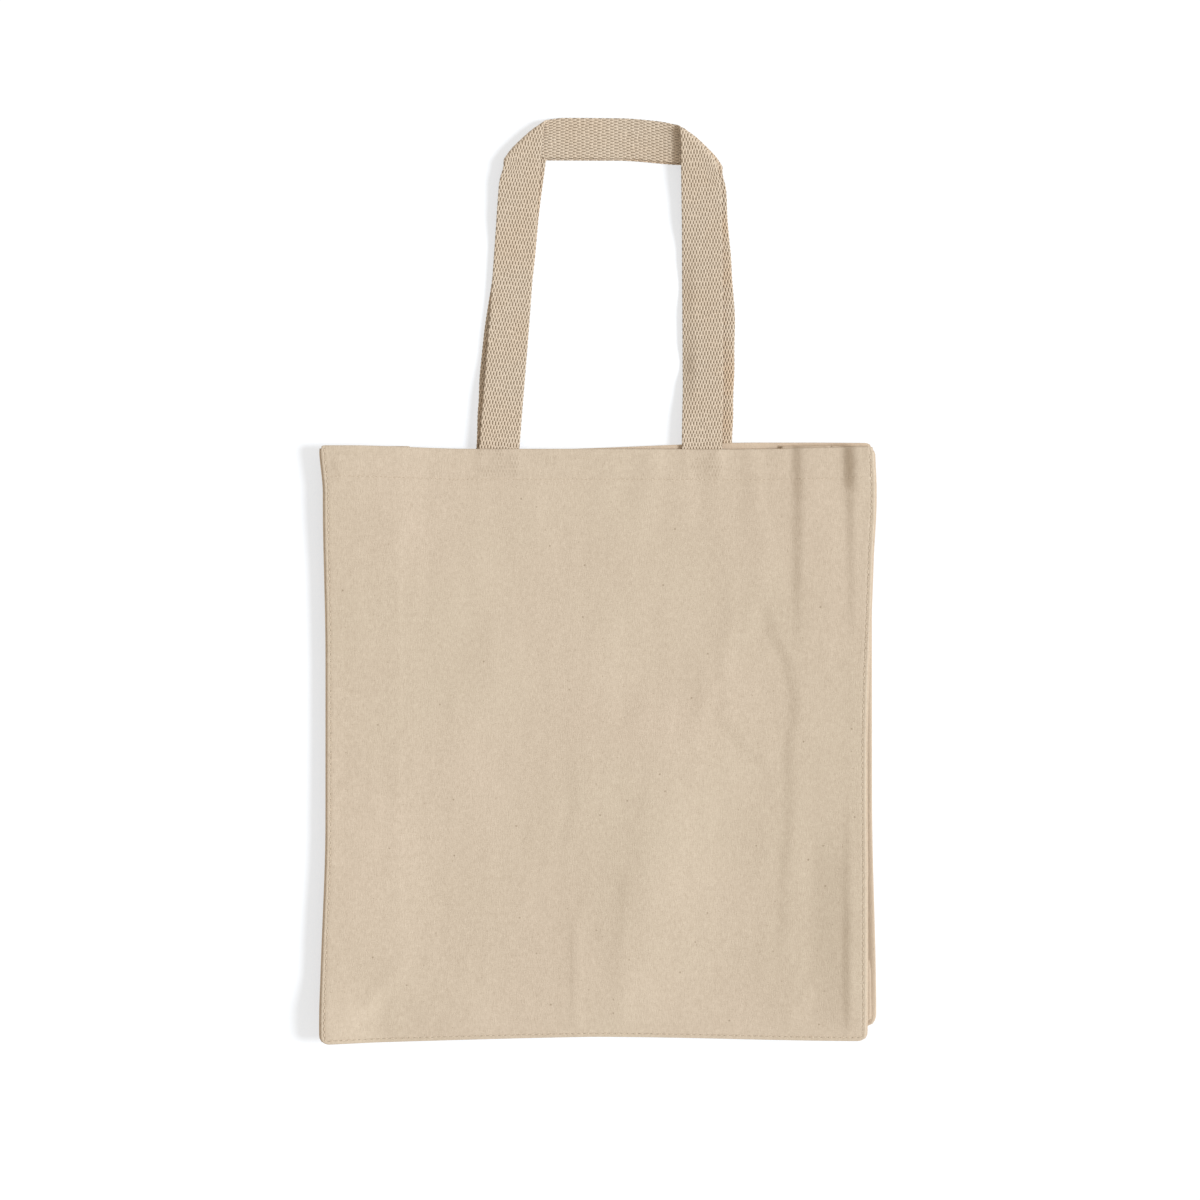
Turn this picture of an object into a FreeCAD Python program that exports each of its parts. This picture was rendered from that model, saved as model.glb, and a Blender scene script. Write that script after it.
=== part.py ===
"""Canvas tote bag, lying folded flat on its back panel.

+X is the bag's right, +Y runs up the bag to its handles, and +Z is its depth, from the back panel
to the front panel. The origin is the centre of the back panel's underside.

The two panels are joined by a gusset that runs down both sides and along the bottom. Each gusset
is creased along its middle, so that it folds in between the panels. Lengths are in millimetres.
"""
import FreeCAD, Part
import os

# Bag
PANEL_W = 356.0          # width of a panel over its seams
PANEL_H = 394.0          # height of a panel from its bottom seam to its hem
CORNER_R = 5.0           # rounding of a panel's bottom corners
GUSSET_DEPTH = 102.0     # the bag's depth when it stands open
FLAT_THICK = 11.2        # the folded bag's thickness
FABRIC_T = 0.8           # canvas

# Seams and hems
SEAM_INSET = 3.0         # from a panel's edge to the stitching that joins it to the gusset
HEM_H = 21.0             # depth of the turned hem at the mouth
FOLD_GAP = 0.1           # air inside a turned hem
THREAD_W = 0.5
THREAD_T = 0.25
THREAD_INSET = 2.4       # from a panel's edge to the middle of its edge stitching

# Heights of the back half's layers over the underside; the front half mirrors them
BOTTOM_GUSSET_Z = 1.2
SIDE_GUSSET_Z = 3.2
STRAP_Z = 2.0

# Gusset clearances, so that the folded layers turn without touching
HINGE_GAP = 1.2          # from a seam to the gusset's edge
CREASE_GAP = 0.5         # from the crease to the edge of each half
MITRE_TRIM = 1.5         # from the corner's diagonal to the bottom gusset
PLEAT_GAP = 0.3          # between a corner pleat and the bottom gusset

# Handles: cotton webbing, folded over at 45 degrees at both ends of the grip
WEBBING_W = 26.5
WEBBING_T = 1.5
STRAP_END = 20.0         # length sewn behind the hem
HANDLE_START = 1.0       # from the hem's edge to the free part of the handle
FRONT_HANDLE = {"left_root": -76.5, "left_top": -62.0, "right_root": 84.0, "right_top": 85.0, "grip_y": 412.0}
BACK_HANDLE = {"left_root": -78.0, "left_top": -59.0, "right_root": 90.5, "right_top": 87.0, "grip_y": 410.0}

# Worked out from the dimensions above
HALF_W = PANEL_W / 2
HALF_H = PANEL_H / 2
SEAM_X = HALF_W - SEAM_INSET
SEAM_Y = -HALF_H + SEAM_INSET
CREASE_X = SEAM_X - GUSSET_DEPTH / 2
CREASE_Y = SEAM_Y + GUSSET_DEPTH / 2
MID_Z = FLAT_THICK / 2

UP = FreeCAD.Vector(0, 0, 1)
RIGHT = FreeCAD.Vector(1, 0, 0)
MIDDLE = FreeCAD.Vector(0, 0, MID_Z)
ORIGIN = FreeCAD.Vector(0, 0, 0)


def box(x, y, z):
    """A box from three (low, high) pairs."""
    corner = FreeCAD.Vector(x[0], y[0], z[0])
    return Part.makeBox(x[1] - x[0], y[1] - y[0], z[1] - z[0], corner)


def plate(points, z):
    """A flat polygon with a (low, high) pair of heights."""
    corners = [FreeCAD.Vector(x, y, z[0]) for x, y in points]
    face = Part.Face(Part.makePolygon(corners + corners[:1]))
    return face.extrude(FreeCAD.Vector(0, 0, z[1] - z[0]))


def to_front(shape):
    """The front half's twin of a back half's shape."""
    return shape.mirror(MIDDLE, UP)


def to_right(shape):
    """The right side's twin of a left side's shape."""
    return shape.mirror(ORIGIN, RIGHT)


def panel_outline():
    """A block as tall as the folded bag, with a panel's rounded outline."""
    block = box((-HALF_W, HALF_W), (-HALF_H, HALF_H), (-1, FLAT_THICK + 1))
    bottom_corners = []
    for edge in block.Edges:
        start, end = (vertex.Point for vertex in edge.Vertexes)
        if start.x == end.x and start.y == end.y == -HALF_H:
            bottom_corners.append(edge)
    return block.makeFillet(CORNER_R, bottom_corners)


def hemmed_sheet(x, y, z):
    """A sheet at height z, with its top edge turned over once onto its upper side."""
    low, high = y
    outer = FABRIC_T + FOLD_GAP / 2
    inner = FOLD_GAP / 2
    fold_y = high - outer
    middle = z + outer
    flap_end = high - HEM_H

    def at(across, height):
        return FreeCAD.Vector(x[0], across, height)

    def line(start, end):
        return Part.makeLine(at(*start), at(*end))

    def arc(start, through, end):
        return Part.Arc(at(*start), at(*through), at(*end)).toShape()

    edges = [
        line((low, z), (fold_y, z)),
        arc((fold_y, z), (high, middle), (fold_y, middle + outer)),
        line((fold_y, middle + outer), (flap_end, middle + outer)),
        line((flap_end, middle + outer), (flap_end, middle + inner)),
        line((flap_end, middle + inner), (fold_y, middle + inner)),
        arc((fold_y, middle + inner), (fold_y + inner, middle), (fold_y, middle - inner)),
        line((fold_y, middle - inner), (low, middle - inner)),
        line((low, middle - inner), (low, z)),
    ]
    return Part.Face(Part.Wire(edges)).extrude(FreeCAD.Vector(x[1] - x[0], 0, 0))


def back_panel():
    """The panel, with its hem turned to the inside between the side seams."""
    hem_x = (-SEAM_X + HINGE_GAP, SEAM_X - HINGE_GAP)
    sheet = box((-HALF_W, HALF_W), (-HALF_H, HALF_H - FABRIC_T), (0, FABRIC_T))
    return sheet.common(panel_outline()).fuse(hemmed_sheet(hem_x, (0, HALF_H), 0)).removeSplitter()


def side_seam():
    """The left seam's turned edges: panel and gusset pinched together, inside the panel's edge."""
    strip = box((-HALF_W, -SEAM_X), (SEAM_Y, HALF_H), (FABRIC_T, 2 * FABRIC_T))
    return strip.common(panel_outline())


def bottom_seam():
    strip = box((-HALF_W, HALF_W), (-HALF_H, SEAM_Y), (FABRIC_T, 2 * FABRIC_T))
    return strip.common(panel_outline())


def side_gusset():
    """The left gusset's back half. Its hem is turned to the bag's inside, so towards the panel."""
    x = (-SEAM_X + HINGE_GAP, -CREASE_X - CREASE_GAP)
    sheet = hemmed_sheet(x, (SEAM_Y + MITRE_TRIM, HALF_H), SIDE_GUSSET_Z)
    return sheet.mirror(FreeCAD.Vector(0, 0, SIDE_GUSSET_Z + FABRIC_T / 2), UP)


def mitre_x(y, trim):
    """The x of the left corner's diagonal at a height y, moved right by trim."""
    return -SEAM_X + (y - SEAM_Y) + trim


def bottom_gusset():
    """The bottom gusset's back half, mitred at both corners."""
    low = SEAM_Y + HINGE_GAP
    high = CREASE_Y - CREASE_GAP
    left_low = mitre_x(low, MITRE_TRIM)
    left_high = mitre_x(high, MITRE_TRIM)
    points = [(left_low, low), (-left_low, low), (-left_high, high), (left_high, high)]
    return plate(points, (BOTTOM_GUSSET_Z, BOTTOM_GUSSET_Z + FABRIC_T))


def corner_pleat():
    """The left corner's triangle of gusset, which folds under the side gusset when the bag is flat."""
    trim = MITRE_TRIM - PLEAT_GAP
    left = -SEAM_X + MITRE_TRIM
    high = CREASE_Y - CREASE_GAP
    low = SEAM_Y + HINGE_GAP + PLEAT_GAP
    points = [(left, low), (mitre_x(high, trim), high), (left, high)]
    return plate(points, (BOTTOM_GUSSET_Z, BOTTOM_GUSSET_Z + FABRIC_T))


def strap_ends(handle, z):
    """The two ends of a handle, sewn behind the hem."""
    y = (HALF_H - STRAP_END, HALF_H)
    left = box((handle["left_root"], handle["left_root"] + WEBBING_W), y, z)
    right = box((handle["right_root"] - WEBBING_W, handle["right_root"]), y, z)
    return Part.makeCompound([left, right])


def handle_loop(handle, leg_z, grip_z):
    """The free part of a handle: two legs, and a grip that passes behind both of them."""
    root_y = HALF_H + HANDLE_START
    top = handle["grip_y"]
    under = top - WEBBING_W
    left = handle["left_top"]
    right = handle["right_top"]
    left_leg = [
        (handle["left_root"], root_y),
        (handle["left_root"] + WEBBING_W, root_y),
        (left + WEBBING_W, top),
        (left, under),
    ]
    right_leg = [
        (handle["right_root"] - WEBBING_W, root_y),
        (handle["right_root"], root_y),
        (right, under),
        (right - WEBBING_W, top),
    ]
    grip = [(left, under), (right, under), (right - WEBBING_W, top), (left + WEBBING_W, top)]
    legs = plate(left_leg, leg_z).fuse(plate(right_leg, leg_z))
    return legs.fuse(plate(grip, grip_z)).removeSplitter()


def edge_thread(z):
    """One run of stitching down the left edge, along the bottom and up the right edge."""
    x = HALF_W - THREAD_INSET
    y = -HALF_H + THREAD_INSET
    half = THREAD_W / 2
    height = (z, z + THREAD_T)
    left = box((-x - half, -x + half), (y - half, HALF_H), height)
    bottom = box((-x, x), (y - half, y + half), height)
    return left.fuse(bottom).fuse(to_right(left)).removeSplitter()


def hem_thread(z):
    y = HALF_H - HEM_H + THREAD_INSET
    return box((-SEAM_X + SEAM_INSET, SEAM_X - SEAM_INSET), (y, y + THREAD_W), (z, z + THREAD_T))


def bag_parts():
    """Every piece of the bag, by name."""
    back_strap = (STRAP_Z, STRAP_Z + WEBBING_T)
    back_grip = (STRAP_Z - WEBBING_T, STRAP_Z)
    front_strap = (FLAT_THICK - STRAP_Z - WEBBING_T, FLAT_THICK - STRAP_Z)
    front_grip = (front_strap[0] - WEBBING_T, front_strap[0])
    hem_top = 2 * FABRIC_T + FOLD_GAP
    parts = {
        "back_panel": back_panel(),
        "back_left_seam": side_seam(),
        "back_right_seam": to_right(side_seam()),
        "back_bottom_seam": bottom_seam(),
        "left_gusset_back": side_gusset(),
        "right_gusset_back": to_right(side_gusset()),
        "bottom_gusset_back": bottom_gusset(),
        "back_left_pleat": corner_pleat(),
        "back_right_pleat": to_right(corner_pleat()),
    }
    fronts = {name.replace("back", "front"): to_front(shape) for name, shape in parts.items()}
    parts.update(fronts)
    parts["back_handle"] = handle_loop(BACK_HANDLE, back_strap, back_grip)
    parts["front_handle"] = handle_loop(FRONT_HANDLE, front_strap, front_grip)
    parts["back_handle_ends"] = strap_ends(BACK_HANDLE, back_strap)
    parts["front_handle_ends"] = strap_ends(FRONT_HANDLE, front_strap)
    # The underside stays flat, so the back's stitching is made on the inner side of its seams and hem.
    parts["back_edge_stitching"] = edge_thread(hem_top - FOLD_GAP)
    parts["back_hem_stitching"] = hem_thread(hem_top)
    parts["front_edge_stitching"] = edge_thread(FLAT_THICK)
    parts["front_hem_stitching"] = hem_thread(FLAT_THICK)
    return parts


os.makedirs("parts", exist_ok=True)
for node, solid in bag_parts().items():
    print(node, "valid" if solid.isValid() else "NOT VALID", round(solid.Volume), "mm3")
    solid.exportStep(f"parts/{node}.step")
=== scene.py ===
"""Looks of the canvas tote bag: cloth shells, woven handles, real stitches, studio light and camera.

The bag lies folded flat on its back panel, with +X its right, +Y up the bag to its handles and +Z its
depth. Lengths here are in millimetres, in the frame of the CAD model, and become metres in each mesh.
"""

import math
import bpy
import numpy as np
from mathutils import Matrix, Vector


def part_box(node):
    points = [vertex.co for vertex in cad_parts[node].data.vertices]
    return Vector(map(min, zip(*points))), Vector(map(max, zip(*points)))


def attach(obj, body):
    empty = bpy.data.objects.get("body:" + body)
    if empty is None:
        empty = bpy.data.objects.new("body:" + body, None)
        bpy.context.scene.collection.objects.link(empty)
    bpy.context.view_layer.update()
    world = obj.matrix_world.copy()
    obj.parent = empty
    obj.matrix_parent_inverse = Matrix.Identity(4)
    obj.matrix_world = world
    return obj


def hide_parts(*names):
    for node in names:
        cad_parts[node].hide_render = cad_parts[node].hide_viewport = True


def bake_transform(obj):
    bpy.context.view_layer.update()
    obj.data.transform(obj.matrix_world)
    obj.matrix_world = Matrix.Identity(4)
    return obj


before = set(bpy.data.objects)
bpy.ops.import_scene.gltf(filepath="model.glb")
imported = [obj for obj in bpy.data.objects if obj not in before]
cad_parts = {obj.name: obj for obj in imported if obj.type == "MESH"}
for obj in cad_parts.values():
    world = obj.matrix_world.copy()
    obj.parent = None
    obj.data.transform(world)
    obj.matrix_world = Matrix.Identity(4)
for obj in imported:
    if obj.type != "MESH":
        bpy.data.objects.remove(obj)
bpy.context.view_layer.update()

MM = 0.001               # metres in a millimetre


def node_box(name):
    """Lowest and highest corner of a CAD node, in millimetres."""
    return [np.array(corner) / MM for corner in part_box(name)]


# ---------------------------------------------------------------- sizes from the frame
HALF_W, HALF_H, FLAT_THICK = node_box("front_panel")[1]
SEAM_INSET = 3.0         # from a panel's edge to its seam
STITCH_INSET = 2.4       # and to the stitches round it
CREASE_GAP = 0.5         # from a gusset's crease to the edge of its CAD halves
SEAM_X = HALF_W - SEAM_INSET
SEAM_Y = -HALF_H + SEAM_INSET
CREASE_X = -node_box("left_gusset_back")[1][0] - CREASE_GAP      # the side creases, from the middle
CREASE_Y = node_box("bottom_gusset_back")[1][1] + CREASE_GAP

# ---------------------------------------------------------------- cloth and thread
CLOTH_T = 0.8
HEM_H = 21.0
SEAM_SHOWS = 1.3         # how far the gusset's edge stands out beside a panel
HEM_FOLD_R = 0.5         # radius of the turned hem's middle line
EDGE_THREAD_R = 0.28
HEM_THREAD_R = 0.2
EDGE_STITCH = 4.0        # stitch length round the edges
HEM_STITCH = 3.0
WEBBING_W = 26.5
WEBBING_T = 1.5
WEAVE_LENGTH = 5.44      # the webbing's weave repeats this far along it
WEAVE_WIDTH = 1.98       # and this far across, with every other row of floats half a step over
YARN_RELIEF = 0.12       # how far a float stands up, and sinks on the other face


# ---------------------------------------------------------------- small helpers
def smooth(t):
    """0 below 0, 1 above 1, with an even slope between."""
    t = np.clip(t, 0.0, 1.0)
    return t * t * (3 - 2 * t)


def bell(d, width):
    """1 at 0, falling away on both sides."""
    return np.exp(-(d / width) ** 2)


def ripple(x, y, wavelength, seed, waves=14):
    """A random but repeatable unevenness of about unit height, with no direction of its own."""
    random = np.random.default_rng(seed)
    total = np.zeros(np.broadcast(x, y).shape)
    for _ in range(waves):
        angle = random.uniform(0, math.tau)
        length = wavelength * random.uniform(0.7, 1.6)
        phase = random.uniform(0, math.tau)
        total += np.sin((x * math.cos(angle) + y * math.sin(angle)) * math.tau / length + phase)
    return total / math.sqrt(waves / 2)


def follow(position, points):
    """The value at a position along given (position, value) points, eased from one to the next."""
    result = np.full(np.shape(position), float(points[0][1]))
    for (p0, v0), (p1, v1) in zip(points, points[1:]):
        result = result + (v1 - v0) * smooth((position - p0) / (p1 - p0))
    return result


def settle(points):
    """The left side of the bag is pressed down along its middle and curls up at its two corners."""
    x, y, z = points[:, 0], points[:, 1], points[:, 2]
    up_the_side = [(-197, 0.0), (-130, 0.02), (-60, -0.12), (20, -0.17)]
    up_the_side += [(110, -0.14), (165, 0.02), (197, 0.08)]
    lift = follow(y, up_the_side) * smooth((-75 - x) / 100)
    corner = 0.5 * smooth((-138 - x) / 40) * smooth((-148 - y) / 40)
    points[:, 2] = z * (1 + (lift + corner) * (z > 0))
    return points


def make_object(name, points, faces):
    """A smooth mesh object from points in millimetres, settled as the bag lies."""
    mesh = bpy.data.meshes.new(name)
    mesh.from_pydata((settle(np.array(points)) * MM).tolist(), [], faces)
    mesh.validate()
    mesh.shade_smooth()
    piece = bpy.data.objects.new(name, mesh)
    bpy.context.scene.collection.objects.link(piece)
    return piece


def grid_faces(rows, columns, start=0, flip=False):
    """Quads over a grid of points that is stored row by row."""
    faces = []
    for r in range(rows - 1):
        for c in range(columns - 1):
            a = start + r * columns + c
            quad = (a, a + 1, a + columns + 1, a + columns)
            faces.append(quad[::-1] if flip else quad)
    return faces


def shell(name, outer, inner):
    """A closed sheet between two grids of points. The outer grid's normals point out."""
    rows, columns = outer.shape[:2]
    count = rows * columns
    faces = grid_faces(rows, columns) + grid_faces(rows, columns, count, flip=True)
    rim = [(0, c) for c in range(columns)]
    rim += [(r, columns - 1) for r in range(1, rows)]
    rim += [(rows - 1, c) for c in range(columns - 2, -1, -1)]
    rim += [(r, 0) for r in range(rows - 2, 0, -1)]
    ring = [r * columns + c for r, c in rim]
    for a, b in zip(ring, ring[1:] + ring[:1]):
        faces.append((a, a + count, b + count, b))
    points = np.concatenate([outer.reshape(-1, 3), inner.reshape(-1, 3)])
    return make_object(name, points, faces)


def normals(grid):
    """Unit normals of a grid of points, columns running right and rows running up."""
    along = np.gradient(grid, axis=1)
    up = np.gradient(grid, axis=0)
    n = np.cross(along, up)
    return n / np.maximum(np.linalg.norm(n, axis=2, keepdims=True), 1e-9)


def thick_sheet(name, middle, half):
    """A closed sheet round a grid of middle points; half is its half thickness, a number or a grid."""
    offset = normals(middle) * np.broadcast_to(half, middle.shape[:2])[..., None]
    return shell(name, middle + offset, middle - offset)


def edge_steps(length, coarse):
    """Distances across a panel, close together at both edges, where the seams are."""
    fine = [0, 0.12, 0.4, 0.8, 1.2, 1.6, 2.0, 2.4, 2.7, 3.0, 3.3, 3.6, 4.0, 4.6, 5.4, 6.5]
    inside = np.linspace(8.0, length - 8.0, round((length - 16.0) / coarse) + 1)
    return np.concatenate([fine, inside, length - np.array(fine[::-1])])


# ---------------------------------------------------------------- outlines of the two panels
# Each function gives an edge's x for v up the panel (-1 to 1), or its y for u across the panel (-1 to 1).
def front_left(v):
    low, high, corner = smooth((-v - 0.25) / 0.7), smooth((v - 0.3) / 0.5), smooth((v - 0.84) / 0.16)
    return -(HALF_W - 1.7 + 3.8 * low + 1.6 * high + 2.4 * corner)


def front_right(v):
    high, bulge, corner = smooth((v + 0.05) / 0.85), smooth((v - 0.62) / 0.2), smooth((v - 0.84) / 0.15)
    return HALF_W + 0.2 + 4.6 * high + 1.3 * bulge - 1.1 * corner


def front_bottom(u):
    return -(HALF_H - 4.4 + 4.8 * np.clip(-u, 0, 1) ** 1.2 + 2.75 * smooth(u))


def front_top(u):
    left, middle, right = smooth((-u - 0.45) / 0.45), smooth(u / 0.5), smooth((u - 0.5) / 0.5)
    return HALF_H - 3.2 + 2.2 * left - 0.3 * middle + 1.4 * right


def back_left(v):
    return -(HALF_W - 3.9 + 2.0 * np.abs(v) ** 2)


def back_right(v):
    return HALF_W + 3.7 + 2.7 * smooth((-v - 0.2) / 0.75) + 0.9 * smooth((v - 0.86) / 0.1)


def back_bottom(u):
    return -(HALF_H - 4.5 - 5.0 * smooth((u + 0.2) / 1.0))


def back_top(u):
    return HALF_H - 3.3 + 4.4 * smooth((u + 0.24) / 0.85) - 0.2 * smooth((u - 0.75) / 0.25)


# Each corner is (side, end, radius).
FRONT_EDGES = {
    "left": front_left,
    "right": front_right,
    "bottom": front_bottom,
    "top": front_top,
    "corners": (
        ("left", "bottom", 6.0),
        ("right", "bottom", 5.5),
        ("left", "top", 3.0),
        ("right", "top", 5.0),
    ),
}
BACK_EDGES = {
    "left": back_left,
    "right": back_right,
    "bottom": back_bottom,
    "top": back_top,
    "corners": (
        ("left", "bottom", 6.0),
        ("right", "bottom", 9.0),
        ("left", "top", 3.0),
        ("right", "top", 5.0),
    ),
}


def round_corner(x, y, edges, side, end, radius):
    """Pulls the points in one corner's square in to a quarter circle."""
    sign = -1.0 if side == "left" else 1.0
    up = -1.0 if end == "bottom" else 1.0
    corner_x = edges[side](up)
    corner_y = edges[end](sign)
    p = np.clip((x - corner_x) * sign + radius, 0, radius) / radius
    q = np.clip((y - corner_y) * up + radius, 0, radius) / radius
    x = x - sign * radius * p * (1 - np.sqrt(1 - q * q / 2))
    y = y - up * radius * q * (1 - np.sqrt(1 - p * p / 2))
    return x, y


def place(edges, s, t):
    """The (x, y) of a point at shares s across and t up a panel."""
    u = 2 * s - 1
    v = 2 * t - 1
    left, right = edges["left"](v), edges["right"](v)
    bottom, top = edges["bottom"](u), edges["top"](u)
    x = left + (right - left) * s
    y = bottom + (top - bottom) * t
    for side, end, radius in edges["corners"]:
        x, y = round_corner(x, y, edges, side, end, radius)
    return x, y


def edge_distance(s, t):
    """Distance to the nearest seamed edge, left, right or bottom, in millimetres."""
    return np.minimum(np.minimum(s, 1 - s) * 2 * HALF_W, t * 2 * HALF_H)


# ---------------------------------------------------------------- how the front panel lies
def long_fold(along, across, path, left_w, right_w, height):
    """A fold that runs along given (along, across) points and fades out at both ends.
    Its two sides fall away over left_w and right_w."""
    d = across - follow(along, path)
    start, end = path[0][0], path[-1][0]
    taper = 0.3 * abs(end - start)
    low, high = min(start, end), max(start, end)
    fade = smooth((along - low) / taper + 0.5) * smooth((high - along) / taper + 0.5)
    return height * fade * np.where(d < 0, bell(d, left_w), bell(d, right_w))


def dimple(x, y, centre, size, angle, height):
    """A soft oval rise or hollow, turned by an angle in degrees."""
    c, s = math.cos(math.radians(angle)), math.sin(math.radians(angle))
    dx, dy = x - centre[0], y - centre[1]
    along, across = dx * c + dy * s, dy * c - dx * s
    return height * np.exp(-(along / size[0]) ** 2 - (across / size[1]) ** 2)


def rise(along, across, path, heights, width):
    """A step up across given (along, across) points; heights gives (along, how high)."""
    share = (across - follow(along, path)) / width + 0.5
    return follow(along, heights) * smooth(share)


def gusset_print(x, y):
    """The panel is held up by the folded gusset round three sides and sinks a little inside it."""
    left = smooth((x + CREASE_X + 7) / 22)
    bottom = smooth((y - CREASE_Y - 1) / 30)
    h = -0.9 * left * bottom - 0.9 * smooth((x + CREASE_X) / 60) * bottom
    h = h - 0.16 * smooth((x + CREASE_X + 4.2) / 2.4) * smooth((160 - y) / 60)
    h = h - 0.10 * smooth((y - CREASE_Y - 1) / 2.4) * smooth((-50 - x) / 60)
    # The right crease under the hem, and lower down, where it wanders
    path = [(200, 132.7), (150, 133.3), (95, 132.7)]
    heights = [(197, 3.1), (165, 3.0), (150, 2.3), (120, 2.0), (98, 1.6), (76, 0.9), (58, 0.0)]
    h = h + rise(y, x, path, heights, 8.5)
    path = [(105, 108), (76, 116), (50, 127), (28, 131.3)]
    path += [(-11, 127), (-50, 127.4), (-90, 124), (-170, 121)]
    heights = [(112, 0.0), (74, 1.2), (50, 1.5), (28, 1.7)]
    heights += [(-11, 1.3), (-50, 1.2), (-130, 0.8), (-175, 0.1)]
    h = h + rise(y, x, path, heights, 9.5) * bottom
    # The ridge inside the right seam: broad at the top corner, sharp below it
    path = [(200, 166.5), (172, 167.3), (140, 168.0), (94, 168.5), (-100, 165), (-197, 165)]
    heights = [(197, 4.9), (185, 5.4), (173, 4.6), (162, 1.2), (150, 0.0)]
    h = h + rise(y, x, path, heights, 9.5)
    heights = [(168, 0.0), (155, 1.5), (140, 1.6), (121, 1.3), (94, 0.8), (62, 0.3)]
    heights += [(-40, 0.2), (-80, 1.0), (-130, 1.7), (-190, 1.8)]
    return h + rise(y, x, path, heights, 5.5)


def front_folds(x, y):
    """The folds and hollows of the front panel, each a named feature of how the cloth lies."""
    h = np.zeros(np.shape(x))
    # Slack from the right handle down to the middle
    h += long_fold(y, x, [(175, 106), (120, 112), (70, 100)], 7.0, 5.0, 0.35)
    h += long_fold(y, x, [(90, 92), (50, 84), (20, 70)], 5.0, 6.0, 0.4)
    h += long_fold(y, x, [(60, 74), (30, 70), (-5, 66)], 4.0, 5.0, 0.3)
    heights = [(50, 0.0), (18, 0.8), (-10, 0.7), (-48, 0.0)]
    h += rise(y, x, [(20, 80), (0, 96), (-22, 116)], heights, 12.0)
    h += dimple(x, y, (21, 28), (18, 8), 80, -0.55)
    h += dimple(x, y, (12, 80), (34, 12), 60, 0.45)
    h += dimple(x, y, (8, 125), (30, 14), 70, 0.3)
    # The broad swell of the lower middle, and the slope up to the bottom right
    h += dimple(x, y, (38, -90), (88, 25), 80, 2.9)
    heights = [(0, 0.0), (-25, 0.7), (-55, 0.6), (-85, 0.0)]
    h += rise(y, x, [(-10, -14), (-40, -14), (-70, -22)], heights, 9.0)
    h += 1.6 * smooth((x - 78) / 60) * smooth((10 - y) / 90)
    h += 4.2 * smooth((x - 138) / 32) * smooth((-30 - y) / 70)
    # Short upright folds above the bottom seam
    h += long_fold(y, x, [(-120, -13), (-160, -13), (-200, -14)], 2.6, 5.0, 0.55)
    h += long_fold(y, x, [(-90, 22), (-140, 18), (-200, 14)], 6.0, 9.0, 0.4)
    # Left handle's pull and the flat left side
    h += long_fold(y, x, [(165, -76), (100, -72), (30, -66)], 8.0, 7.0, 0.25)
    h += dimple(x, y, (-88, -20), (42, 40), 0, 0.3)
    h += 1.5 * smooth((-120 - x) / 60)
    # A horizontal wave near the left seam, and the bottom left corner's pleat
    h += long_fold(x, y, [(-185, 52), (-160, 50), (-128, 52)], 5.0, 5.0, -0.3)
    h += dimple(x, y, (-145, -165), (26, 5), 48, 0.7)
    h += dimple(x, y, (-138, -178), (20, 6), 20, -0.35)
    # The puff beside the left seam under the hem
    h += rise(y, x, [(195, -172), (165, -171)], [(196, 0.2), (183, 0.6), (165, 0.0)], 7.0)
    # The right corner's small crumples
    h += dimple(x, y, (140, -163), (12, 4), 60, 0.5)
    h += dimple(x, y, (128, -178), (10, 4), 95, 0.4)
    # Puckers between the hem and the seams
    h += 0.16 * ripple(x, y * 0.3, 24, 3) * smooth((y - 110) / 80) * smooth((x + 90) / 120)
    h += 0.22 * ripple(x, y * 0.7, 90, 5) * smooth((x + 160) / 200)
    h += 0.05 * ripple(x, y, 14, 7)
    return h


def over_strap(x, y):
    """1 where the hem lies over a webbing end."""
    nearest = np.minimum(np.abs(x - FRONT_LEGS[0]), np.abs(x - FRONT_LEGS[1]))
    return smooth((WEBBING_W / 2 + 1.0 - nearest) / 2.0) * smooth((y - HALF_H + 24) / 4)


def seam_profile(d):
    """Height over the panel d from a seamed edge: a rolled ridge, then the stitched groove."""
    roll = -0.25 * (1 - smooth(d / 0.8)) + 0.08 * bell(d - 1.2, 0.7)
    groove = -0.20 * bell(d - STITCH_INSET, 0.5)
    return roll + groove + 0.06 * bell(d - 4.6, 1.4)


def hem_profile(below):
    """Height over the panel at a distance below its top edge."""
    return 0.12 * smooth((HEM_H + 1.0 - below) / 3.0)


def front_lift(x, y):
    """How far the front panel and what lies against it rise above the CAD's flat panel."""
    return (gusset_print(x, y) + front_folds(x, y)) * (0.1 + 0.9 * smooth((y + 197) / 26))


def front_height(x, y, s, t):
    """The front panel's middle layer, over the CAD panel's own middle."""
    seam = seam_profile(edge_distance(s, t))
    hem = hem_profile((1 - t) * 2 * HALF_H)
    return front_lift(x, y) + seam + hem + 0.35 * over_strap(x, y)


def back_lift(x, y):
    """The back panel's mouth is drawn up on the right, and its right edge curls up lower down."""
    mouth = 3.4 * smooth((x + 70) / 90) * (1 - 0.55 * smooth((x - 98) / 22)) * smooth((y - 130) / 55)
    curl = 1.5 * smooth((x - 175) / 10) * smooth((60 - y) / 90)
    return mouth + curl


def back_height(x, y, s, t):
    """The back panel's middle layer, over the CAD panel's own middle."""
    d = edge_distance(s, t)
    uneven = 0.25 + 0.25 * smooth(ripple(x, y, 120, 11))
    return back_lift(x, y) + uneven - 0.35 * seam_profile(d) * (d > 1.2)


# ---------------------------------------------------------------- panels
FRONT_Z = FLAT_THICK - CLOTH_T / 2                     # the CAD front panel's middle layer
BACK_Z = CLOTH_T / 2
FRONT_GRID = 2.1         # spacing of the points in the middle of each panel
BACK_GRID = 3.5
ends_low, ends_high = node_box("front_handle_ends")
FRONT_LEGS = (ends_low[0] + WEBBING_W / 2, ends_high[0] - WEBBING_W / 2)   # the middles of its sewn ends


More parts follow.
